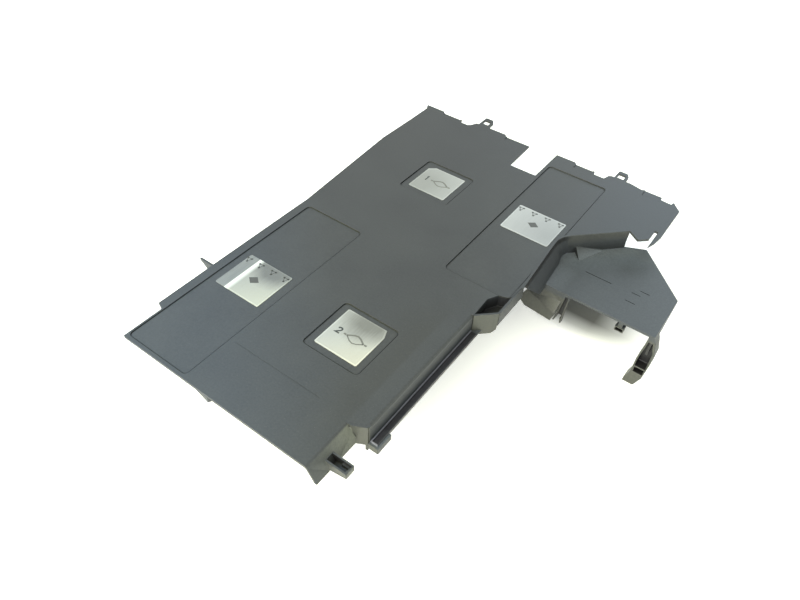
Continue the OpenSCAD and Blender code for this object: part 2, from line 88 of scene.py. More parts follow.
class NodeTree:
    """A thin hand for building shader trees: it adds nodes, sets their values and links them.

    The Mix node's sockets for colours share their names with others, so they are told by their places.
    """

    mix_factor = 0
    mix_first = 6
    mix_second = 7
    mix_result = 2

    def __init__(self, tree: bpy.types.NodeTree) -> None:
        """Keeps the tree that the nodes go into.

        Args:
            tree: A material's tree or a node group.
        """
        self.tree = tree

    def add(self, kind: str, values: dict[str | int, object] | None = None, **props: object) -> bpy.types.Node:
        """Adds one node.

        Args:
            kind: The node's type name.
            values: Values of its input sockets, by name or place.
            **props: Properties of the node itself.

        Returns:
            The new node.
        """
        node = self.tree.nodes.new(kind)
        for key, value in props.items():
            setattr(node, key, value)
        for key, value in (values or {}).items():
            node.inputs[key].default_value = value
        return node

    def link(self, source: bpy.types.NodeSocket, target: bpy.types.NodeSocket) -> None:
        """Links an output socket to an input socket."""
        self.tree.links.new(source, target)

    def math(self, operation: str, first: object, second: object = 0.0, clamp: bool = False) -> bpy.types.NodeSocket:
        """Adds a Math node whose inputs are sockets or numbers.

        Args:
            operation: The node's operation, such as MULTIPLY.
            first: A socket or a number.
            second: A socket or a number.
            clamp: Whether the result stays between 0 and 1.

        Returns:
            The result's socket.
        """
        node = self.add("ShaderNodeMath", operation=operation, use_clamp=clamp)
        for place, value in enumerate((first, second)):
            if isinstance(value, bpy.types.NodeSocket):
                self.link(value, node.inputs[place])
            else:
                node.inputs[place].default_value = value
        return node.outputs[0]

    def join(self, operation: str, values: Sequence[bpy.types.NodeSocket]) -> bpy.types.NodeSocket:
        """Joins values by one operation.

        Args:
            operation: The Math node's operation, such as MULTIPLY or MAXIMUM.
            values: The values' sockets, one or more.

        Returns:
            The result's socket.
        """
        result, *others = values
        for value in others:
            result = self.math(operation, result, value)
        return result

    def weighted(self, *parts: tuple[bpy.types.NodeSocket, float]) -> bpy.types.NodeSocket:
        """Adds up values, each times its weight, and returns the sum's socket."""
        return self.join("ADD", [self.math("MULTIPLY", value, weight) for value, weight in parts])

    def remap(self, value: bpy.types.NodeSocket, low: float, high: float, to_low: float = 0.0,
              to_high: float = 1.0) -> bpy.types.NodeSocket:
        """Stretches the range low..high of a value to to_low..to_high, and clamps it.

        Args:
            value: The value's socket.
            low: Start of the range that is read.
            high: End of the range that is read.
            to_low: Result at the start.
            to_high: Result at the end.

        Returns:
            The result's socket.
        """
        limits = {"From Min": low, "From Max": high, "To Min": to_low, "To Max": to_high}
        node = self.add("ShaderNodeMapRange", limits)
        self.link(value, node.inputs["Value"])
        return node.outputs["Result"]

    def measure(self, operation: str, first: bpy.types.NodeSocket, second: Vector | Point3) -> bpy.types.NodeSocket:
        """Measures one vector against another.

        Args:
            operation: A vector operation whose result is a number, such as DISTANCE or DOT_PRODUCT.
            first: A vector's socket.
            second: The other vector.

        Returns:
            The number's socket.
        """
        node = self.add("ShaderNodeVectorMath", {1: second}, operation=operation)
        self.link(first, node.inputs[0])
        return node.outputs["Value"]

    def mix(self, factor: object, first: object, second: object) -> bpy.types.NodeSocket:
        """Mixes two colours.

        Args:
            factor: A socket or a number, 0 for the first colour and 1 for the second.
            first: A socket or an RGB colour.
            second: A socket or an RGB colour.

        Returns:
            The mixed colour's socket.
        """
        node = self.add("ShaderNodeMix", data_type="RGBA")
        places = (self.mix_factor, factor), (self.mix_first, first), (self.mix_second, second)
        for place, value in places:
            if isinstance(value, bpy.types.NodeSocket):
                self.link(value, node.inputs[place])
            else:
                node.inputs[place].default_value = value if place == self.mix_factor else (*value, 1.0)
        return node.outputs[self.mix_result]


def object_coordinates(hand: NodeTree) -> bpy.types.NodeSocket:
    """Adds the Object coordinates and returns their socket."""
    return hand.add("ShaderNodeTexCoord").outputs["Object"]


@dataclass(frozen=True)
class GroupSocket:
    """One named input or output of a shader node group."""

    name: str
    kind: str = "NodeSocketFloat"
    default: float | None = None


class EffectGroup:
    """A surface effect that several finishes share, built once as a node group."""

    title = "Effect"
    takes: Sequence[GroupSocket] = ()
    gives: Sequence[GroupSocket] = ()

    def __init__(self) -> None:
        """Builds the group's sockets and then its nodes."""
        self.group = bpy.data.node_groups.new(self.title, "ShaderNodeTree")
        for way, sockets in (("INPUT", self.takes), ("OUTPUT", self.gives)):
            for one in sockets:
                made = self.group.interface.new_socket(name=one.name, in_out=way, socket_type=one.kind)
                if one.default is not None:
                    made.default_value = one.default
        hand = NodeTree(self.group)
        self.build(hand, hand.add("NodeGroupInput").outputs, hand.add("NodeGroupOutput").inputs)

    def build(self, hand: NodeTree, given: bpy.types.NodeOutputs, result: bpy.types.NodeInputs) -> None:
        """Builds the nodes between the group's inputs and outputs.

        Args:
            hand: The hand that adds nodes.
            given: The group's input values.
            result: The group's output sockets.
        """
        raise NotImplementedError

    def place(self, hand: NodeTree, coordinates: bpy.types.NodeSocket, **values: float) -> bpy.types.NodeOutputs:
        """Places the group in a material with that material's own values.

        Args:
            hand: The hand of the material.
            coordinates: The coordinates that the effect is laid out on.
            **values: Values of the inputs, by name with _ for a space.

        Returns:
            The placed node's outputs.
        """
        node = hand.add("ShaderNodeGroup", node_tree=self.group)
        hand.link(coordinates, node.inputs["Coordinates"])
        for name, value in values.items():
            node.inputs[name.replace("_", " ").capitalize()].default_value = value
        return node.outputs


COORDINATES = GroupSocket("Coordinates", "NodeSocketVector")


class MouldGrain(EffectGroup):
    """Spark-eroded mould grain: fine peaks over a slightly coarser mottle."""

    title = "Mould grain"
    takes = (COORDINATES, GroupSocket("Grain scale", default=2600.0), GroupSocket("Mottle scale", default=700.0))
    gives = (GroupSocket("Height"), GroupSocket("Mottle"))

    def build(self, hand: NodeTree, given: bpy.types.NodeOutputs, result: bpy.types.NodeInputs) -> None:
        """Adds a fine noise for the peaks and a coarser one for the mottle.

        Args:
            hand: The hand that adds nodes.
            given: The group's input values.
            result: The group's output sockets.
        """
        fine = hand.add("ShaderNodeTexNoise", {"Detail": 2.0, "Roughness": 0.6})
        coarse = hand.add("ShaderNodeTexNoise", {"Detail": 3.0, "Roughness": 0.65})
        for node, scale in ((fine, "Grain scale"), (coarse, "Mottle scale")):
            hand.link(given["Coordinates"], node.inputs["Vector"])
            hand.link(given[scale], node.inputs["Scale"])
        hand.link(hand.weighted((fine.outputs[0], 0.6), (coarse.outputs[0], 0.4)), result["Height"])
        hand.link(hand.remap(coarse.outputs[0], 0.3, 0.7), result["Mottle"])


class HandlingCloud(EffectGroup):
    """Broad, faint clouds where handling and cooling left the surface a little duller or lighter."""

    title = "Handling cloud"
    takes = (COORDINATES, GroupSocket("Scale", default=14.0), GroupSocket("Strength", default=1.0))
    gives = (GroupSocket("Mask"),)

    def build(self, hand: NodeTree, given: bpy.types.NodeOutputs, result: bpy.types.NodeInputs) -> None:
        """Adds one wide noise, stretched to a soft mask.

        Args:
            hand: The hand that adds nodes.
            given: The group's input values.
            result: The group's output sockets.
        """
        noise = hand.add("ShaderNodeTexNoise", {"Detail": 4.0, "Roughness": 0.55, "Distortion": 0.4})
        hand.link(given["Coordinates"], noise.inputs["Vector"])
        hand.link(given["Scale"], noise.inputs["Scale"])
        soft = hand.remap(noise.outputs[0], 0.32, 0.68)
        hand.link(hand.math("MULTIPLY", soft, given["Strength"], clamp=True), result["Mask"])


class Speckle(EffectGroup):
    """Sparse specks: dust on plastic, or pits and glints in foil."""

    title = "Speckle"
    takes = (COORDINATES, GroupSocket("Scale", default=900.0), GroupSocket("Share", default=0.2))
    gives = (GroupSocket("Mask"),)

    def build(self, hand: NodeTree, given: bpy.types.NodeOutputs, result: bpy.types.NodeInputs) -> None:
        """Keeps the middles of scattered cells as specks.

        Args:
            hand: The hand that adds nodes.
            given: The group's input values.
            result: The group's output sockets.
        """
        cells = hand.add("ShaderNodeTexVoronoi", {"Randomness": 1.0})
        hand.link(given["Coordinates"], cells.inputs["Vector"])
        hand.link(given["Scale"], cells.inputs["Scale"])
        edge = hand.math("SUBTRACT", given["Share"], cells.outputs["Distance"])
        hand.link(hand.remap(edge, -0.03, 0.06), result["Mask"])


@dataclass
class Effects:
    """The shared effects, each built once."""

    grain: MouldGrain = field(default_factory=MouldGrain)
    cloud: HandlingCloud = field(default_factory=HandlingCloud)
    speckle: Speckle = field(default_factory=Speckle)


# ---- Finishes -----------------------------------------------------------------


def new_material(name: str) -> tuple[bpy.types.Material, NodeTree, bpy.types.Node]:
    """Starts a material with one Principled shader.

    Args:
        name: The material's name.

    Returns:
        The material, the hand for its tree, and its shader node.
    """
    material = bpy.data.materials.new(name)
    material.use_nodes = True
    hand = NodeTree(material.node_tree)
    return material, hand, material.node_tree.nodes["Principled BSDF"]


@dataclass(frozen=True)
class TonePair:
    """The darker and the lighter tone of a mottled surface."""

    dark: Colour
    light: Colour

    def tinted(self, tint: Colour) -> "TonePair":
        """Returns the pair with each tone multiplied by a tint."""
        dark, light = (tuple(part * by for part, by in zip(tone, tint)) for tone in (self.dark, self.light))
        return TonePair(dark, light)

    def mixed(self, hand: NodeTree, factor: bpy.types.NodeSocket) -> bpy.types.NodeSocket:
        """Adds the mix of the two tones and returns its socket."""
        return hand.mix(factor, self.dark, self.light)


@dataclass(frozen=True)
class Relief:
    """How a surface's roughness and bump follow its pattern."""

    roughness: tuple[float, float]
    bump: float
    depth: float = 0.0002
    read: tuple[float, float] = (0.0, 1.0)

    def lay(self, hand: NodeTree, shader: bpy.types.Node, tone: bpy.types.NodeSocket,
            height: bpy.types.NodeSocket) -> None:
        """Links the shader's roughness to a tone and its normal to a height.

        Args:
            hand: The hand of the material.
            shader: The material's shader.
            tone: The value that the roughness follows, over the range that is read.
            height: The height that makes the bump.
        """
        hand.link(hand.remap(tone, *self.read, *self.roughness), shader.inputs["Roughness"])
        bump = hand.add("ShaderNodeBump", {"Strength": self.bump, "Distance": self.depth})
        hand.link(height, bump.inputs["Height"])
        hand.link(bump.outputs[0], shader.inputs["Normal"])


class Measure(Enum):
    """What a fade reads: a place in metres in the row frame, or how far the surface faces a way, from -1 to 1.

    Each value is an output of the texture coordinates and the direction that it is measured along.
    """

    X = ("Object", (1.0, 0.0, 0.0))
    Y = ("Object", (0.0, 1.0, 0.0))
    Z = ("Object", (0.0, 0.0, 1.0))
    FROM_CORNER = ("Object", (1.0, 1.0, 0.0))
    FROM_DIAGONAL = ("Object", (0.72, -0.69, 0.0))
    FACING_RIGHT = ("Normal", (1.0, 0.0, 0.0))
    FACING_REAR = ("Normal", (0.0, 1.0, 0.0))
    FACING_UP = ("Normal", (0.0, 0.0, 1.0))


@dataclass(frozen=True)
class Fade:
    """A soft step in a mask, from the least value at a measure's start to the most at its end."""

    measure: Measure
    start: float
    end: float
    least: float = 0.0
    most: float = 1.0


class Masker:
    """Lays soft masks out of fades, with one node for each measure that the material reads."""

    def __init__(self, hand: NodeTree) -> None:
        """Adds the texture coordinates.

        Args:
            hand: The hand of the material.
        """
        self.hand = hand
        self.coordinates = hand.add("ShaderNodeTexCoord").outputs
        self.measured: dict[Measure, bpy.types.NodeSocket] = {}

    def mask(self, fades: Sequence[Fade], either: Sequence[Fade] = ()) -> bpy.types.NodeSocket:
        """Multiplies fades into one mask.

        Args:
            fades: The fades that all count.
            either: Fades of which only the strongest counts.

        Returns:
            The mask's socket.
        """
        steps = [self.step(fade) for fade in fades]
        if either:
            steps.append(self.hand.join("MAXIMUM", [self.step(fade) for fade in either]))
        return self.hand.join("MULTIPLY", steps)

    def step(self, fade: Fade) -> bpy.types.NodeSocket:
        """Adds one fade, and its measure if that is new.

        Args:
            fade: The fade.

        Returns:
            Its socket.
        """
        if fade.measure not in self.measured:
            output, direction = fade.measure.value
            self.measured[fade.measure] = self.hand.measure("DOT_PRODUCT", self.coordinates[output], direction)
        return self.hand.remap(self.measured[fade.measure], fade.start, fade.end, fade.least, fade.most)


@dataclass(frozen=True)
class Zone:
    """A zone of the moulding whose tone differs from the middle of the deck.

    The tint multiplies the plastic's tones. A tint far from 1 stands for light or shade on the zone, not for another
    plastic.
    """

    name: str
    tint: Colour
    fades: tuple[Fade, ...]
    either: tuple[Fade, ...] = ()


FACES_FRONT = Fade(Measure.FACING_REAR, -0.25, -0.75)
FACES_UP = Fade(Measure.FACING_UP, 0.6, 0.8)
BESIDE_HOOD = (FACES_FRONT, Fade(Measure.Y, 0.055, 0.075))
ON_HOOD = (Fade(Measure.Z, 0.0700, 0.0645), Fade(Measure.Z, 0.0615, 0.0635), FACES_UP)

# Each zone covers the zones before it. Most zones are painted light or painted shade, as each one says.
ZONES = (
    # Painted light: the right of the moulding lighter and bluer
    Zone("right side", (1.05, 1.13, 1.28), (Fade(Measure.X, 0.03, 0.10),)),
    # Painted light: the low up-facing faces lighter and bluer
    Zone("low deck", (1.20, 1.27, 1.40), (Fade(Measure.Z, 0.078, 0.066), Fade(Measure.FACING_UP, 0.4, 0.8))),
    # Painted light: the walls that face the front lighter and warmer
    Zone("front walls", (1.55, 1.50, 1.22), (FACES_FRONT,),
         either=(Fade(Measure.Y, 0.045, 0.015), Fade(Measure.Z, 0.060, 0.056))),
    # Painted shade: the foot of the wall beside the hood darker
    Zone("foot of the wall by the hood", (0.30, 0.33, 0.36), (*BESIDE_HOOD, Fade(Measure.Z, 0.076, 0.067))),
    # Painted light: the top of the wall beside the hood lighter
    Zone("head of the wall by the hood", (1.55, 1.50, 1.40), (*BESIDE_HOOD, Fade(Measure.Z, 0.0735, 0.0795))),
    # Painted shade: the walls that face right darker
    Zone("walls that face right", (0.69, 0.74, 0.88), (
        Fade(Measure.FACING_RIGHT, 0.76, 0.84), Fade(Measure.Y, -0.178, -0.170))),
    # Painted shade: a dark line on the side wall just under the deck's edge
    Zone("line under the deck's edge", (0.03, 0.03, 0.05), (
        Fade(Measure.Y, 0.010, 0.016), Fade(Measure.Y, 0.100, 0.092),
        Fade(Measure.FACING_RIGHT, 0.25, 0.5), Fade(Measure.Z, 0.0785, 0.0800))),
    # Painted highlight: the front slope much lighter
    Zone("front slope", (2.95, 2.88, 2.30), (
        Fade(Measure.FACING_RIGHT, 0.5, 0.8), Fade(Measure.Y, -0.176, -0.180),
        Fade(Measure.Y, -0.224, -0.188, least=0.10))),
    # Painted light: the right of the hood lighter and bluer
    Zone("right side of the hood", (1.60, 1.72, 2.00), (*ON_HOOD, Fade(Measure.X, 0.085, 0.180))),
    # Painted light: the hood lighter beside its wall, over the shade that the wall casts
    Zone("hood by its wall", (3.00, 3.20, 3.75), ON_HOOD,
         either=(Fade(Measure.FROM_DIAGONAL, 0.0065, -0.0235), Fade(Measure.X, 0.084, 0.060, most=0.75))),
    Zone("warm edge", (0.87, 0.85, 0.78), (
        Fade(Measure.X, -0.015, 0.020), Fade(Measure.Y, -0.040, -0.080), FACES_UP, Fade(Measure.X, 0.0295, 0.0270))),
    # Painted light: lighter and bluer towards the front left corner
    Zone("front left corner", (1.11, 1.20, 1.42), (Fade(Measure.FROM_CORNER, -0.15, -0.27),)),
    # Painted shade: darker inside the finger recess
    Zone("finger recess", (0.52, 0.52, 0.58), (
        Fade(Measure.X, 0.0355, 0.0370), Fade(Measure.X, 0.0575, 0.0560), Fade(Measure.Y, -0.0310, -0.0300),
        Fade(Measure.Y, 0.0080, 0.0060), Fade(Measure.Z, 0.0835, 0.0815))),
)


@dataclass(frozen=True)
class MouldedPlastic:
    """Matte dark grey moulded plastic with a fine grain, a little dust, and light and shade painted zone by zone."""

    tones: TonePair = TonePair((0.0185, 0.0200, 0.0195), (0.0345, 0.0370, 0.0355))
    zones: tuple[Zone, ...] = ZONES
    mottle_share: float = 0.65
    dust: Colour = (0.16, 0.16, 0.155)
    dust_cover: float = 0.30
    relief: Relief = Relief(roughness=(0.46, 0.60), bump=0.30)

    def make(self, effects: Effects) -> bpy.types.Material:
        """Builds the plastic.

        Args:
            effects: The shared effects.

        Returns:
            The material.
        """
        material, hand, shader = new_material("matte_plastic")
        at = object_coordinates(hand)
        grain = effects.grain.place(hand, at, grain_scale=2400.0, mottle_scale=620.0)
        cloud = effects.cloud.place(hand, at, scale=16.0, strength=1.0)
        dust = effects.speckle.place(hand, at, scale=420.0, share=0.08)
        tone = hand.weighted((grain["Mottle"], self.mottle_share), (cloud["Mask"], 1.0 - self.mottle_share))
        colour = self.tones.mixed(hand, tone)
        masker = Masker(hand)
        # Each zone mixes in its tinted tones, mostly painted light or painted shade
        for zone in self.zones:
            tinted = self.tones.tinted(zone.tint).mixed(hand, tone)
            colour = hand.mix(masker.mask(zone.fades, zone.either), colour, tinted)
            colour.node.label = zone.name
        dusty = hand.mix(hand.math("MULTIPLY", dust["Mask"], self.dust_cover), colour, self.dust)
        hand.link(dusty, shader.inputs["Base Color"])
        self.relief.lay(hand, shader, tone, grain["Height"])
        return material


@dataclass(frozen=True)
class MottledFinish:
    """A mottled, grained finish: the seal's rubber, painted shade in a deep pocket, or a painted highlight on a rib.
    """

    name: str
    tones: TonePair
    relief: Relief = Relief(roughness=(0.44, 0.58), bump=0.25)
    grain_scale: float = 2400.0
    mottle_scale: float = 620.0

    def make(self, effects: Effects) -> bpy.types.Material:
        """Builds the finish.

        Args:
            effects: The shared effects.

        Returns:
            The material.
        """
        material, hand, shader = new_material(self.name)
        grain = effects.grain.place(hand, object_coordinates(hand), grain_scale=self.grain_scale,
                                    mottle_scale=self.mottle_scale)
        hand.link(self.tones.mixed(hand, grain["Mottle"]), shader.inputs["Base Color"])
        self.relief.lay(hand, shader, grain["Mottle"], grain["Height"])
        return material


@dataclass(frozen=True)
class FoilFold:
    """A fold across a sticker, drawn only in colour on the flat foil: a band of painted shade beside a line of
    painted highlight, along Y.

    The glint_fades field says where the bright line starts and ends to fade, in line widths.
    """

    line_x: float
    line_width: float = 0.0035
    blur: float = 0.0004
    glint_fades: tuple[float, float] = (0.5, 1.6)
    band: TonePair = TonePair((0.145, 0.155, 0.152), (0.205, 0.215, 0.210))
    band_contrast: float = 3.0
    band_level: float = 0.45
    glint: Colour = (0.62, 0.64, 0.60)

    def lay(self, hand: NodeTree, colour: bpy.types.NodeSocket, x: bpy.types.NodeSocket,
            uneven: bpy.types.NodeSocket) -> bpy.types.NodeSocket:
        """Lays the fold's band of painted shade and its line of painted highlight over the foil's colour.

        Args:
            hand: The hand of the material.
            colour: The foil's colour so far.
            x: The place along X.
            uneven: The foil's streaks and blotches, around 0.

        Returns:
            The colour with the fold.
        """
        # Painted shade: the band on one side of the fold, darker and blotchy; painted highlight: the bright line
        # along it
        band = hand.remap(x, self.line_x, self.line_x - self.blur)
        level = hand.math("ADD", hand.math("MULTIPLY", uneven, self.band_contrast), self.band_level, clamp=True)
        colour = hand.mix(band, colour, self.band.mixed(hand, level))
        rise = hand.remap(x, self.line_x - self.blur, self.line_x + self.blur)
        start, end = (self.line_x + widths * self.line_width for widths in self.glint_fades)
        glint = hand.math("MULTIPLY", rise, hand.remap(x, start, end, 1.0, 0.0))
        return hand.mix(glint, colour, self.glint)


@dataclass(frozen=True)
class BrushedFoil:
    """Silvery sticker foil, brushed along Y and speckled, with a painted reflection that is darker around one place.

    The reaches say how far from that place the painted reflection starts and ends to turn bright, or cream towards
    its front right, in metres.
    """

    name: str
    dark_tone: Colour
    bright: Colour
    reflection_dark_at: Vector
    reflection_reach: tuple[float, float]
    cream: Colour | None = None
    cream_reach: tuple[float, float] = (0.012, 0.055)
    fold: FoilFold | None = None
    brush_scale: Point3 = (900.0, 50.0, 400.0)
    streaks: float = 0.16
    blotches: float = 0.12
    specks: float = 0.16
    border_lift: float = 1.24
    metallic: float = 0.35
    relief: Relief = Relief(roughness=(0.37, 0.52), bump=0.12, depth=0.0001, read=(0.3, 0.7))

    def make(self, effects: Effects) -> bpy.types.Material:
        """Builds the foil.

        Args:
            effects: The shared effects.

        Returns:
            The material.
        """
        material, hand, shader = new_material(self.name)
        at = object_coordinates(hand)
        stretch = hand.add("ShaderNodeMapping", {"Scale": self.brush_scale})
        hand.link(at, stretch.inputs["Vector"])
        brushed = hand.add("ShaderNodeTexNoise", {"Scale": 1.0, "Detail": 3.0, "Roughness": 0.6})
        hand.link(stretch.outputs[0], brushed.inputs["Vector"])
        specks = effects.speckle.place(hand, at, scale=1100.0, share=0.22)
        cloud = effects.cloud.place(hand, at, scale=70.0, strength=1.0)
        streak = hand.math("SUBTRACT", hand.remap(brushed.outputs[0], 0.35, 0.65), 0.5)
        blotch = hand.math("SUBTRACT", cloud["Mask"], 0.5)
        uneven = hand.weighted((streak, self.streaks), (blotch, self.blotches))
        # Painted reflection: the foil is darker around one place, brighter away from it, and cream towards its front
        # right
        painted_reflection = hand.remap(hand.measure("DISTANCE", at, self.reflection_dark_at), *self.reflection_reach)
        colour = hand.mix(hand.math("ADD", painted_reflection, uneven, clamp=True), self.dark_tone, self.bright)
        if self.cream is not None:
            start, end = (self.reflection_dark_at.x - self.reflection_dark_at.y + reach for reach in self.cream_reach)
            warm = hand.remap(hand.measure("DOT_PRODUCT", at, (1.0, -1.0, 0.0)), start, end)
            colour = hand.mix(hand.math("MULTIPLY", warm, painted_reflection), colour, self.cream)
        if self.fold is not None:
            colour = self.fold.lay(hand, colour, hand.measure("DOT_PRODUCT", at, (1.0, 0.0, 0.0)), uneven)
        speckled = hand.mix(hand.math("MULTIPLY", specks["Mask"], self.specks), colour, self.dark_tone)
        hand.link(speckled, shader.inputs["Base Color"])
        shader.inputs["Metallic"].default_value = self.metallic
        self.relief.lay(hand, shader, hand.math("ADD", uneven, 0.5), brushed.outputs[0])
        return material

    def paler(self) -> "BrushedFoil":
        """Returns the foil of the sheet's border, a little brighter all over."""
        tones = {part: tuple(self.border_lift * value for value in getattr(self, part))
                 for part in ("dark_tone", "bright", "cream") if getattr(self, part) is not None}
        return replace(self, name=self.name + "_border", **tones)


@dataclass(frozen=True)
class PrintedInk:
    """Thin ink printed on the foil, worn paler in specks."""

    name: str
    colour: Colour
    roughness: float = 0.5
    wear: float = 0.5
    worn_gain: float = 1.6
    worn_lift: float = 0.01

    def make(self, effects: Effects) -> bpy.types.Material:
        """Builds the ink.

        Args:
            effects: The shared effects.

        Returns:
            The material.
        """
        material, hand, shader = new_material(self.name)
        specks = effects.speckle.place(hand, object_coordinates(hand), scale=1800.0, share=0.22)
        worn = tuple(self.worn_gain * part + self.worn_lift for part in self.colour)
        cover = hand.mix(hand.math("MULTIPLY", specks["Mask"], self.wear), self.colour, worn)
        hand.link(cover, shader.inputs["Base Color"])
        shader.inputs["Roughness"].default_value = self.roughness
        return material


# ---- Pieces -------------------------------------------------------------------


def add_object(name: str, mesh: bpy.types.Mesh) -> bpy.types.Object:
    """Puts a mesh into the scene at the origin.

    Args:
        name: The object's name.
        mesh: Its mesh, with its place in its points.

    Returns:
        The object.
    """
    obj = bpy.data.objects.new(name, mesh)
    bpy.context.scene.collection.objects.link(obj)
    return obj


def apply_modifiers(obj: bpy.types.Object) -> None:
    """Turns an object's modifiers into plain mesh and removes them.

    Args:
        obj: The object, which keeps its place.
    """
    graph = bpy.context.evaluated_depsgraph_get()
    mesh = bpy.data.meshes.new_from_object(obj.evaluated_get(graph), depsgraph=graph)
    obj.modifiers.clear()
    obj.data = mesh


@dataclass(frozen=True)
class Region:
    """A box whose faces take another finish, in millimetres in the frame of the part's source."""

    low: Point3
    high: Point3

    def holds(self, place: Vector) -> bool:
        """Tells whether a place in the row frame lies in the box."""
        low, high = from_drawing(*self.low), from_drawing(*self.high)
        return all(low[axis] < place[axis] < high[axis] for axis in range(3))


class MouldingSlot(IntEnum):
    """The moulding's material slots."""

    PLASTIC = 0
    POCKET_SHADE = 1
    RIB_HIGHLIGHT = 2


@dataclass
class Moulding:
    """The one-piece moulding, with its edges broken as a real mould leaves them.

    Angles are in degrees. Only an edge between crease_angle and steepest is broken, and only where no edge around it
    is under shortest, in millimetres. Edges of level faces stay sharp from level_crease_angle on, so that the faces
    look flat.
    """

    node: str = "shroud"
    merge_reach: float = 1e-6
    flat_angle: float = 0.3
    crease_angle: float = 28.0
    level_crease_angle: float = 3.0
    level_z: float = 0.9999
    steepest: float = 100.0
    shortest: float = 1.6
    edge_radius: float = 0.45
    edge_segments: int = 2
    # Painted shade: faces in these boxes, inside deep pockets, take the near-black pocket finish
    pockets: tuple[Region, ...] = (
        Region((184.5, 15.0, 68.4), (201.3, 21.4, 77.9)),
        Region((312.8, 273.8, 23.8), (322.4, 282.7, 56.2)),
        Region((313.2, 273.8, 16.2), (322.0, 283.7, 22.6)),
        Region((285.7, 273.8, 52.3), (292.6, 278.7, 55.7)),
        Region((233.8, 273.8, 33.8), (240.9, 277.5, 60.7)),
    )
    # Painted highlight: faces of the thin rib beside the seal strip take a pale finish
    rib_highlight: tuple[Region, ...] = (
        Region((194.9, 49.2, 66.3), (196.0, 190.0, 68.1)),
        Region((194.9, 49.2, 66.3), (201.2, 50.4, 68.1)),
    )

    def build(self, plastic: bpy.types.Material, pocket: bpy.types.Material, rib: bpy.types.Material) -> None:
        """Builds the dressed moulding from a merged copy of its CAD solid.

        Args:
            plastic: The moulding's material.
            pocket: The near-black finish inside its deep pockets, which paints their shade.
            rib: The pale finish of the rib beside the seal strip, which paints its highlight.
        """
        obj = add_object("shroud_moulding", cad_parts[self.node].data.copy())
        self.clean(obj.data)
        obj.data.materials.clear()
        for material in (plastic, pocket, rib):
            obj.data.materials.append(material)
        for face in obj.data.polygons:
            face.material_index = self.finish_of(face.center)
        bevel = obj.modifiers.new("broken_edges", "BEVEL")
        bevel.limit_method = "WEIGHT"
        bevel.width = self.edge_radius * MM
        bevel.segments = self.edge_segments
        bevel.use_clamp_overlap = False
        bevel.harden_normals = False
        level = obj.modifiers.new("flat_faces", "WEIGHTED_NORMAL")
        level.keep_sharp = True
        apply_modifiers(obj)
        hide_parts(self.node)
        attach(obj, ROOT)
        log.info("moulding: %d faces", len(obj.data.polygons))

    def finish_of(self, centre: Vector) -> MouldingSlot:
        """Picks a face's material slot.

        Args:
            centre: The face's middle.

        Returns:
            The slot.
        """
        for slot, regions in ((MouldingSlot.POCKET_SHADE, self.pockets), (MouldingSlot.RIB_HIGHLIGHT, self.rib_highlight)):
            if any(region.holds(centre) for region in regions):
                return slot
        return MouldingSlot.PLASTIC

    def clean(self, mesh: bpy.types.Mesh) -> None:
        """Merges the loose triangles, joins flat ones, marks the edges to break and shades the rounded ones smooth.

        Args:
            mesh: The mesh to change.
        """
        work = bmesh.new()
        work.from_mesh(mesh)
        bmesh.ops.remove_doubles(work, verts=work.verts, dist=self.merge_reach)
        bmesh.ops.dissolve_limit(work, angle_limit=math.radians(self.flat_angle), verts=work.verts, edges=work.edges)
        bmesh.ops.triangulate(work, faces=work.faces, ngon_method="EAR_CLIP")
        weight = work.edges.layers.float.new("bevel_weight_edge")
        for face in work.faces:
            face.smooth = True
        for edge in work.edges:
            level = any(face.normal.z > self.level_z for face in edge.link_faces)
            limit = math.radians(self.level_crease_angle if level else self.crease_angle)
            edge.smooth = len(edge.link_faces) == 2 and edge.calc_face_angle(math.pi) < limit
        for edge in work.edges:
            edge[weight] = 1.0 if self.breakable(edge) else 0.0
        work.to_mesh(mesh)
        work.free()

    def breakable(self, edge: bmesh.types.BMEdge) -> bool:
        """Tells whether an edge is to be broken.

        Args:
            edge: An edge of the moulding.

        Returns:
            Whether it is sharp, and it and all that it touches are long enough for a broken edge.
        """
        if edge.smooth or len(edge.link_faces) != 2:
            return False
        if not self.crease_angle < math.degrees(edge.calc_face_angle(math.pi)) < self.steepest:
            return False
        around = {near for vert in edge.verts for near in vert.link_edges}
        return all(near.calc_length() > self.shortest * MM for near in around)


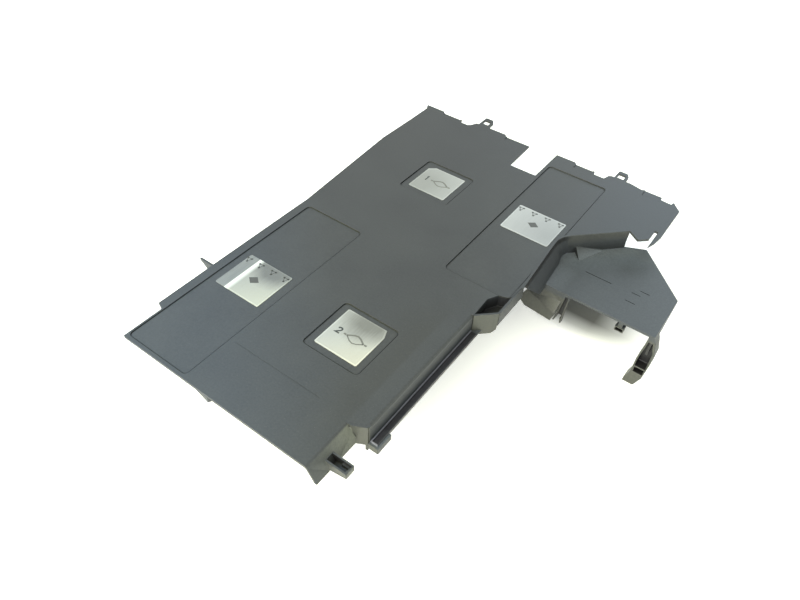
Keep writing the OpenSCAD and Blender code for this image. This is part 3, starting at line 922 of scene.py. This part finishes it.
class PrintBuilder:
    """Builds flat printed shapes on a sticker, in millimetres from the sticker's middle."""

    sharpest_mitre = 0.4

    def __init__(self, node: str | None, lift: float) -> None:
        """Finds the sticker's middle and top.

        Args:
            node: The sticker's CAD node, or None to build at the origin.
            lift: Height of the print above the sticker, in millimetres.
        """
        self.middle = Vector((0.0, 0.0, 0.0))
        if node is not None:
            low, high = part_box(node)
            self.middle = Vector(((low.x + high.x) / 2, (low.y + high.y) / 2, high.z + lift * MM))
        self.work = bmesh.new()

    def polygon(self, outline: Sequence[Point]) -> None:
        """Adds one filled outline.

        Args:
            outline: Its corners, counter-clockwise.
        """
        self.work.faces.new([self.work.verts.new(self.middle + Vector((x, y, 0.0)) * MM) for x, y in outline])

    def stroke(self, line: Sequence[Point], width: float, closed: bool = False) -> None:
        """Adds a line of even width with mitred corners.

        Args:
            line: The line's points.
            width: Its width.
            closed: Whether its last point joins its first.
        """
        points = [Vector((x, y)) for x, y in line]
        count = len(points)
        sides: list[tuple[bmesh.types.BMVert, bmesh.types.BMVert]] = []
        for place, point in enumerate(points):
            before = points[place - 1] if closed or place > 0 else None
            after = points[(place + 1) % count] if closed or place < count - 1 else None
            come = (point - before).normalized() if before is not None else (after - point).normalized()
            leave = (after - point).normalized() if after is not None else come
            along = (come + leave).normalized()
            reach = width / 2 / max(self.sharpest_mitre, along.dot(leave))
            out = Vector((-along.y, along.x)) * reach
            pair = [self.middle + Vector((*(point + way * out), 0.0)) * MM for way in (1, -1)]
            sides.append((self.work.verts.new(pair[0]), self.work.verts.new(pair[1])))
        for place in range(count if closed else count - 1):
            (a, b), (c, d) = sides[place], sides[(place + 1) % count]
            self.work.faces.new((b, d, c, a))

    def mesh(self, name: str) -> bpy.types.Mesh:
        """Turns the shapes into one mesh with its faces up.

        Args:
            name: The mesh's name.

        Returns:
            The mesh.
        """
        bmesh.ops.triangulate(self.work, faces=self.work.faces)
        for face in self.work.faces:
            if face.normal.z < 0:
                face.normal_flip()
        mesh = bpy.data.meshes.new(name)
        self.work.to_mesh(mesh)
        self.work.free()
        return mesh

    def finish(self, name: str, ink: bpy.types.Material) -> None:
        """Turns the shapes into one printed piece that rides on the moulding.

        Args:
            name: The piece's name.
            ink: Its material.
        """
        mesh = self.mesh(name)
        mesh.materials.append(ink)
        piece = add_object(name, mesh)
        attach(piece, ROOT)
        log.info("%s: %d faces", name, len(mesh.polygons))


class Numeral(Enum):
    """The strokes of each printed numeral, in a box one unit high, around its middle."""

    ONE = ((-0.14, 0.36), (0.02, 0.5), (0.02, -0.55))
    TWO = ((-0.30, 0.27), (-0.24, 0.41), (-0.08, 0.49), (0.12, 0.49), (0.27, 0.38), (0.29, 0.20), (0.20, 0.02),
           (-0.32, -0.46), (0.34, -0.46))


@dataclass
class StickerSheet:
    """The foil sheet of one sticker, with a thin paler border, in place of its plain CAD solid.

    The edges field says how far the left, front, right and rear edges lie outside the solid's, in millimetres. The
    cut_corner field gives the number of a cut corner, counter-clockwise from the front left one, and its two cuts.
    """

    node: str
    foil: BrushedFoil
    cut_corner: tuple[int, float, float] | None = None
    edges: tuple[float, float, float, float] = (0.0, 0.0, 0.0, 0.0)
    corner_radius: float = 1.4
    least_radius: float = 0.3
    corner_steps: int = 4
    border_inset: float = 0.15
    border: float = 1.0
    edge: float = 0.12
    edge_segments: int = 2
    edge_profile: float = 0.5

    def outline(self, inset: float) -> list[Point]:
        """Lays out the sheet's outline, in millimetres from its middle.

        Args:
            inset: How far inside the sheet's edge it runs.

        Returns:
            Its points, counter-clockwise.
        """
        low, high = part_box(self.node)
        left, front, right, rear = self.edges
        half_x = ((high.x - low.x) / MM + left + right) / 2 - inset
        half_y = ((high.y - low.y) / MM + front + rear) / 2 - inset
        shift_x, shift_y = (right - left) / 2, (rear - front) / 2
        radius = max(self.least_radius, self.corner_radius - inset)
        turns = [90 * step / self.corner_steps for step in range(self.corner_steps + 1)]
        corners = ((-1, -1, 180), (1, -1, 270), (1, 1, 0), (-1, 1, 90))
        points: list[Point] = []
        for place, (sx, sy, start) in enumerate(corners):
            if self.cut_corner is not None and self.cut_corner[0] == place:
                _, cut_x, cut_y = self.cut_corner
                ends = [(sx * half_x, sy * (half_y - cut_y)), (sx * (half_x - cut_x), sy * half_y)]
                points += ends if sx == sy else ends[::-1]
                continue
            centre = (sx * (half_x - radius), sy * (half_y - radius))
            points += [(centre[0] + radius * math.cos(math.radians(start + turn)),
                        centre[1] + radius * math.sin(math.radians(start + turn))) for turn in turns]
        return [(x + shift_x, y + shift_y) for x, y in points]

    def build(self, foil: bpy.types.Material, rim: bpy.types.Material) -> None:
        """Builds the sheet with softened edges, and its border.

        Args:
            foil: The sheet's material.
            rim: The border's material.
        """
        low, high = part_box(self.node)
        middle = Vector(((low.x + high.x) / 2, (low.y + high.y) / 2, low.z))
        work = bmesh.new()
        base = work.faces.new([work.verts.new(middle + Vector((x, y, 0.0)) * MM) for x, y in self.outline(0.0)])
        raised = bmesh.ops.extrude_face_region(work, geom=[base])
        top = [part for part in raised["geom"] if isinstance(part, bmesh.types.BMVert)]
        bmesh.ops.translate(work, verts=top, vec=(0.0, 0.0, high.z - low.z))
        bmesh.ops.recalc_face_normals(work, faces=work.faces)
        edges = [edge for edge in work.edges if all(vert in top for vert in edge.verts)]
        bmesh.ops.bevel(work, geom=edges, offset=self.edge * MM, segments=self.edge_segments, affect="EDGES",
                        profile=self.edge_profile)
        mesh = bpy.data.meshes.new(self.node + "_sheet")
        work.to_mesh(mesh)
        work.free()
        mesh.materials.append(foil)
        sheet = add_object(self.node + "_sheet", mesh)
        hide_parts(self.node)
        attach(sheet, ROOT)
        printer = PrintBuilder(self.node, Layer.BORDER.value)
        outer, inner = self.outline(self.border_inset), self.outline(self.border_inset + self.border)
        for place in range(len(outer)):
            after = (place + 1) % len(outer)
            printer.polygon([outer[place], outer[after], inner[after], inner[place]])
        printer.finish(self.node + "_border", rim)
        log.info("%s: %d faces", sheet.name, len(mesh.polygons))


@dataclass
class ProcessorSticker:
    """The prints of one processor sticker: a numeral and an outlined diamond with a tail at each side."""

    node: str
    numeral: Numeral
    numeral_at: Point = (-12.0, 0.1)
    numeral_height: float = 5.8
    numeral_line: float = 1.35
    glyph_at: Point = (3.9, -0.3)
    glyph_half: tuple[float, float] = (8.0, 4.4)
    glyph_side: tuple[Point, ...] = ((1.0, 0.0), (0.4, 0.72), (0.0, 0.95), (-0.4, 0.72), (-1.0, 0.0))
    tail: tuple[Point, Point] = ((0.6, 0.0), (3.0, 0.3))
    near_line: float = 1.0
    far_line: float = 1.5
    tail_line: float = 1.6

    def build(self, ink: bpy.types.Material, soft_ink: bpy.types.Material) -> None:
        """Builds the prints.

        Args:
            ink: The numeral's ink.
            soft_ink: The ink of the diamond and its tails.
        """
        printer = PrintBuilder(self.node, Layer.MARK.value)
        x, y = self.numeral_at
        size = self.numeral_height
        printer.stroke([(x + u * size, y + v * size) for u, v in self.numeral.value], self.numeral_line)
        printer.finish(self.node + "_numeral", ink)
        printer = PrintBuilder(self.node, Layer.MARK.value)
        x, y = self.glyph_at
        wide, tall = self.glyph_half
        for way, width in ((1, self.near_line), (-1, self.far_line)):
            printer.stroke([(x + way * u * wide, y - way * v * tall) for u, v in self.glyph_side], width)
        for side in (-1, 1):
            printer.stroke([(x + side * (wide + u), y + v) for u, v in self.tail], self.tail_line)
        printer.finish(self.node + "_glyph", soft_ink)


@dataclass
class MemorySticker:
    """The prints of one memory sticker: a filled diamond and a row of four module marks."""

    node: str
    diamond_at: Point = (-0.6, -1.0)
    diamond_half: tuple[float, float] = (5.5, 4.4)
    row_at: Point = (-1.4, 15.2)
    row_turn: float = 1.0
    row_pitch: float = 13.6

    def build(self, ink: bpy.types.Material, row_tree: "MarkRow") -> None:
        """Builds the prints.

        Args:
            ink: The prints' material.
            row_tree: The node tree that lays out the row of marks.
        """
        printer = PrintBuilder(self.node, Layer.MARK.value)
        (x, y), (wide, tall) = self.diamond_at, self.diamond_half
        printer.polygon([(x - wide, y), (x, y - tall), (x + wide, y), (x, y + tall)])
        middle = printer.middle.copy()
        printer.finish(self.node + "_diamond", ink)
        turn = Matrix.Rotation(math.radians(self.row_turn), 4, "Z")
        place = Matrix.Translation(middle + Vector((*self.row_at, 0.0)) * MM) @ turn
        row_tree.lay(self.node + "_marks", place, self.row_pitch * MM, ink)


class MarkRow:
    """A Geometry Nodes tree for a row of marks, each of three spots joined by thin lines to a triangle."""

    spots: tuple[Point, ...] = ((0.15, -2.8), (2.0, 1.5), (-2.15, 1.3))
    spot_radius = 1.0
    spot_points = 10
    link_width = 0.55

    def __init__(self, count: int = 4) -> None:
        """Builds the tree, which repeats the mark that it is given along a line.

        Args:
            count: How many marks the row has.
        """
        tree = bpy.data.node_groups.new("Mark row", "GeometryNodeTree")
        self.sockets: dict[str, str] = {}
        tree.interface.new_socket(name="Mark", in_out="INPUT", socket_type="NodeSocketGeometry")
        for name, kind in (("Count", "NodeSocketInt"), ("Pitch", "NodeSocketFloat"), ("Ink", "NodeSocketMaterial")):
            self.sockets[name] = tree.interface.new_socket(name=name, in_out="INPUT", socket_type=kind).identifier
        tree.interface.new_socket(name="Row", in_out="OUTPUT", socket_type="NodeSocketGeometry")
        self.tree = tree
        self.count = count
        hand = NodeTree(tree)
        given = hand.add("NodeGroupInput").outputs
        line = hand.add("GeometryNodeMeshLine", mode="OFFSET")
        hand.link(given["Count"], line.inputs["Count"])
        offset = hand.add("ShaderNodeCombineXYZ")
        hand.link(given["Pitch"], offset.inputs["X"])
        hand.link(offset.outputs[0], line.inputs["Offset"])
        start = hand.add("ShaderNodeCombineXYZ")
        half = hand.math("MULTIPLY", hand.math("SUBTRACT", given["Count"], 1.0), -0.5)
        hand.link(hand.math("MULTIPLY", half, given["Pitch"]), start.inputs["X"])
        hand.link(start.outputs[0], line.inputs["Start Location"])
        row = hand.add("GeometryNodeInstanceOnPoints")
        hand.link(line.outputs["Mesh"], row.inputs["Points"])
        hand.link(given["Mark"], row.inputs["Instance"])
        real = hand.add("GeometryNodeRealizeInstances")
        hand.link(row.outputs["Instances"], real.inputs["Geometry"])
        inked = hand.add("GeometryNodeSetMaterial")
        hand.link(real.outputs["Geometry"], inked.inputs["Geometry"])
        hand.link(given["Ink"], inked.inputs["Material"])
        hand.link(inked.outputs["Geometry"], hand.add("NodeGroupOutput").inputs["Row"])

    def mark(self, name: str) -> bpy.types.Mesh:
        """Builds one mark at the origin: three spots and the lines between them.

        Args:
            name: The mesh's name.

        Returns:
            The mesh.
        """
        printer = PrintBuilder(None, 0.0)
        turns = [point * math.tau / self.spot_points for point in range(self.spot_points)]
        ring = [(self.spot_radius * math.cos(turn), self.spot_radius * math.sin(turn)) for turn in turns]
        for x, y in self.spots:
            printer.polygon([(x + u, y + v) for u, v in ring])
        printer.stroke(self.spots, self.link_width, closed=True)
        return printer.mesh(name)

    def lay(self, name: str, place: Matrix, pitch: float, ink: bpy.types.Material) -> None:
        """Lays one row of marks, as a plain mesh that rides on the moulding.

        Args:
            name: The row's name.
            place: Where the row's middle lies and how it is turned.
            pitch: Distance between marks in metres.
            ink: The marks' material.
        """
        row = add_object(name, self.mark(name))
        modifier = row.modifiers.new("row", "NODES")
        modifier.node_group = self.tree
        for socket, value in (("Count", self.count), ("Pitch", pitch), ("Ink", ink)):
            modifier[self.sockets[socket]] = value
        apply_modifiers(row)
        row.data.transform(place)
        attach(row, ROOT)
        log.info("%s: %d faces", name, len(row.data.polygons))


@dataclass(frozen=True)
class Softbox:
    """One square softbox, by its direction from the shroud, in degrees, with sizes in metres and power in watts."""

    name: str
    azimuth: float
    elevation: float
    power: float
    colour: Colour = (1.0, 1.0, 1.0)
    size: float = 1.1
    distance: float = 1.8


@dataclass
class Studio:
    """White table, softboxes on all sides, the room's even light and the camera."""

    floor_size: float = 12.0
    floor_roughness: float = 0.9
    white: Colour = (0.93, 0.93, 0.87)
    # Painted light: a faint glow that lifts the table's shadows, fading out under the hood, where a painted shadow
    # lies
    glow: float = 0.30
    glow_out_at: float = 0.5
    glow_colour: Colour = (1.0, 1.0, 0.96)
    shade: Colour = (0.10, 0.10, 0.085)
    shade_fades: tuple[Fade, ...] = (
        Fade(Measure.X, 0.1614, 0.1074), Fade(Measure.Y, 0.068, 0.097),
        Fade(Measure.Y, 0.145, 0.125), Fade(Measure.X, 0.050, 0.062),
    )
    room_light: float = 0.62
    softboxes: tuple[Softbox, ...] = (
        Softbox("front_low", 270, 24, 43.0, (1.0, 0.99, 1.0)),
        Softbox("front_left_high", 225, 52, 25.5, (1.0, 1.0, 0.62)),
        Softbox("left_high", 180, 52, 13.0, (0.35, 0.62, 1.0)),
        Softbox("front_high", 270, 52, 8.0, (1.0, 1.0, 0.6)),
        Softbox("right_low", 0, 22, 15.0, (0.9, 1.0, 0.85)),
        Softbox("back_low", 90, 22, 12.0, (0.75, 0.88, 1.0)),
        Softbox("back_left_low", 135, 22, 3.0),
    )
    aim_height: float = 0.05
    camera_place: Point3 = (0.1979, -0.3839, 0.470)
    yaw: float = -33.39
    pitch: float = 45.356
    roll: float = 3.807
    lens: float = 30.16
    sensor_width: float = 36.0
    clip_start: float = 0.01

    def build(self) -> None:
        """Builds floor, lights, world and camera."""
        self.floor()
        self.world()
        for box in self.softboxes:
            self.hang(box)
        self.camera()

    def floor(self) -> None:
        """Lays the white table under the shroud, with a faint painted glow and a painted shadow under the hood."""
        half = self.floor_size / 2
        mesh = bpy.data.meshes.new("table")
        mesh.from_pydata([(-half, -half, 0), (half, -half, 0), (half, half, 0), (-half, half, 0)], [], [(0, 1, 2, 3)])
        table = add_object("table", mesh)
        material, hand, shader = new_material("white_table")
        shader.inputs["Roughness"].default_value = self.floor_roughness
        # Painted shadow under the hood, with the painted glow everywhere else
        under = Masker(hand).mask(self.shade_fades)
        hand.link(hand.mix(under, self.white, self.shade), shader.inputs["Base Color"])
        hand.link(hand.remap(under, 0.0, self.glow_out_at, self.glow, 0.0), shader.inputs["Emission Strength"])
        shader.inputs["Emission Color"].default_value = (*self.glow_colour, 1.0)
        mesh.materials.append(material)

    def world(self) -> None:
        """Sets the even light of the room."""
        world = bpy.data.worlds.new("room")
        bpy.context.scene.world = world
        world.use_nodes = True
        back = world.node_tree.nodes["Background"]
        back.inputs["Color"].default_value = (1.0, 1.0, 1.0, 1.0)
        back.inputs["Strength"].default_value = self.room_light

    def hang(self, box: Softbox) -> None:
        """Hangs one softbox that looks at the shroud.

        Args:
            box: Its direction, size and light.
        """
        light = bpy.data.lights.new(box.name, "AREA")
        light.size = box.size
        light.energy = box.power
        light.color = box.colour
        obj = bpy.data.objects.new(box.name, light)
        bpy.context.scene.collection.objects.link(obj)
        turn, rise = math.radians(box.azimuth), math.radians(box.elevation)
        way = Vector((math.cos(turn) * math.cos(rise), math.sin(turn) * math.cos(rise), math.sin(rise)))
        place = way * box.distance + Vector((0.0, 0.0, self.aim_height))
        obj.matrix_world = Matrix.Translation(place) @ way.to_track_quat("Z", "Y").to_matrix().to_4x4()

    def camera(self) -> None:
        """Adds the camera, looking down at the shroud from its front right."""
        yaw, pitch, roll = (math.radians(angle) for angle in (self.yaw, self.pitch, self.roll))
        ahead = Vector((math.sin(yaw) * math.cos(pitch), math.cos(yaw) * math.cos(pitch), -math.sin(pitch)))
        level = ahead.cross(Vector((0, 0, 1))).normalized()
        rise = level.cross(ahead)
        across = math.cos(roll) * level + math.sin(roll) * rise
        up = -math.sin(roll) * level + math.cos(roll) * rise
        data = bpy.data.cameras.new("camera")
        data.lens = self.lens
        data.sensor_width = self.sensor_width
        data.clip_start = self.clip_start
        obj = bpy.data.objects.new("camera", data)
        bpy.context.scene.collection.objects.link(obj)
        turn = Matrix((across, up, -ahead)).transposed().to_4x4()
        obj.matrix_world = Matrix.Translation(self.camera_place) @ turn
        bpy.context.scene.camera = obj


def sticker_sheets() -> list[StickerSheet]:
    """Lists the four stickers with each one's own foil.

    Returns:
        Their sheets.
    """
    top = 83.6
    # Each foil's tones, with the place and reach of its painted reflection
    processor_1 = BrushedFoil(
        "foil_processor_1", dark_tone=(0.225, 0.232, 0.215), bright=(0.295, 0.303, 0.288),
        reflection_dark_at=from_drawing(56.0, 306.0, top), reflection_reach=(0.012, 0.040))
    processor_2 = BrushedFoil(
        "foil_processor_2", dark_tone=(0.150, 0.152, 0.134), bright=(0.330, 0.338, 0.312), cream=(0.42, 0.41, 0.33),
        reflection_dark_at=from_drawing(137.0, 127.0, top), reflection_reach=(0.010, 0.030))
    front_memory = BrushedFoil(
        "foil_memory_front", dark_tone=(0.128, 0.133, 0.127), bright=(0.272, 0.282, 0.258), cream=(0.36, 0.365, 0.305),
        reflection_dark_at=from_drawing(38.0, 126.0, top), reflection_reach=(0.012, 0.027), fold=FoilFold(from_drawing(17.6, 0.0).x))
    rear_memory = BrushedFoil(
        "foil_memory_rear", dark_tone=(0.235, 0.243, 0.240), bright=(0.318, 0.327, 0.321),
        reflection_dark_at=from_drawing(200.0, 312.0, top), reflection_reach=(0.006, 0.048))
    return [
        StickerSheet("cpu_label_1", processor_1, cut_corner=(3, 6.2, 5.2)),
        StickerSheet("cpu_label_2", processor_2, cut_corner=(2, 2.9, 7.6), edges=(0.0, 0.0, 0.3, 2.1)),
        StickerSheet("memory_label_front", front_memory, edges=(0.0, 0.4, -1.2, -0.6)),
        StickerSheet("memory_label_rear", rear_memory, edges=(0.0, -3.2, 0.0, 0.9)),
    ]


def main() -> None:
    """Builds every piece of the scene."""
    logging.basicConfig(level=logging.INFO, format="%(name)s: %(message)s")
    bpy.context.scene.view_settings.view_transform = "Standard"
    effects = Effects()
    plastic = MouldedPlastic().make(effects)
    rubber = MottledFinish("seal_rubber", TonePair((0.009, 0.009, 0.011), (0.021, 0.021, 0.025)),
                           Relief(roughness=(0.32, 0.50), bump=0.2), grain_scale=1800.0, mottle_scale=420.0)
    # Painted shade inside the deep pockets and a painted highlight on the rib beside the seal strip, each its own
    # finish
    pocket = MottledFinish("pocket_painted_shade", TonePair((0.004, 0.004, 0.004), (0.010, 0.010, 0.010))).make(effects)
    rib = MottledFinish("rib_painted_highlight", TonePair((0.11, 0.115, 0.135), (0.17, 0.175, 0.20))).make(effects)
    Moulding().build(plastic, pocket, rib)
    for sheet in sticker_sheets():
        sheet.build(sheet.foil.make(effects), sheet.foil.paler().make(effects))
    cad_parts["edge_seal"].material_slots[0].material = rubber.make(effects)
    black = PrintedInk("numeral_ink", (0.022, 0.025, 0.023)).make(effects)
    grey = PrintedInk("label_ink", (0.048, 0.050, 0.046)).make(effects)
    soft = PrintedInk("glyph_ink", (0.095, 0.096, 0.082)).make(effects)
    ProcessorSticker("cpu_label_1", Numeral.ONE, numeral_height=6.4).build(black, soft)
    ProcessorSticker("cpu_label_2", Numeral.TWO).build(black, soft)
    row = MarkRow()
    MemorySticker("memory_label_front").build(grey, row)
    MemorySticker("memory_label_rear", diamond_at=(-0.3, 2.0), row_at=(-0.3, 17.3), row_turn=0.8).build(grey, row)
    Studio().build()


if __name__ == "__main__":
    main()
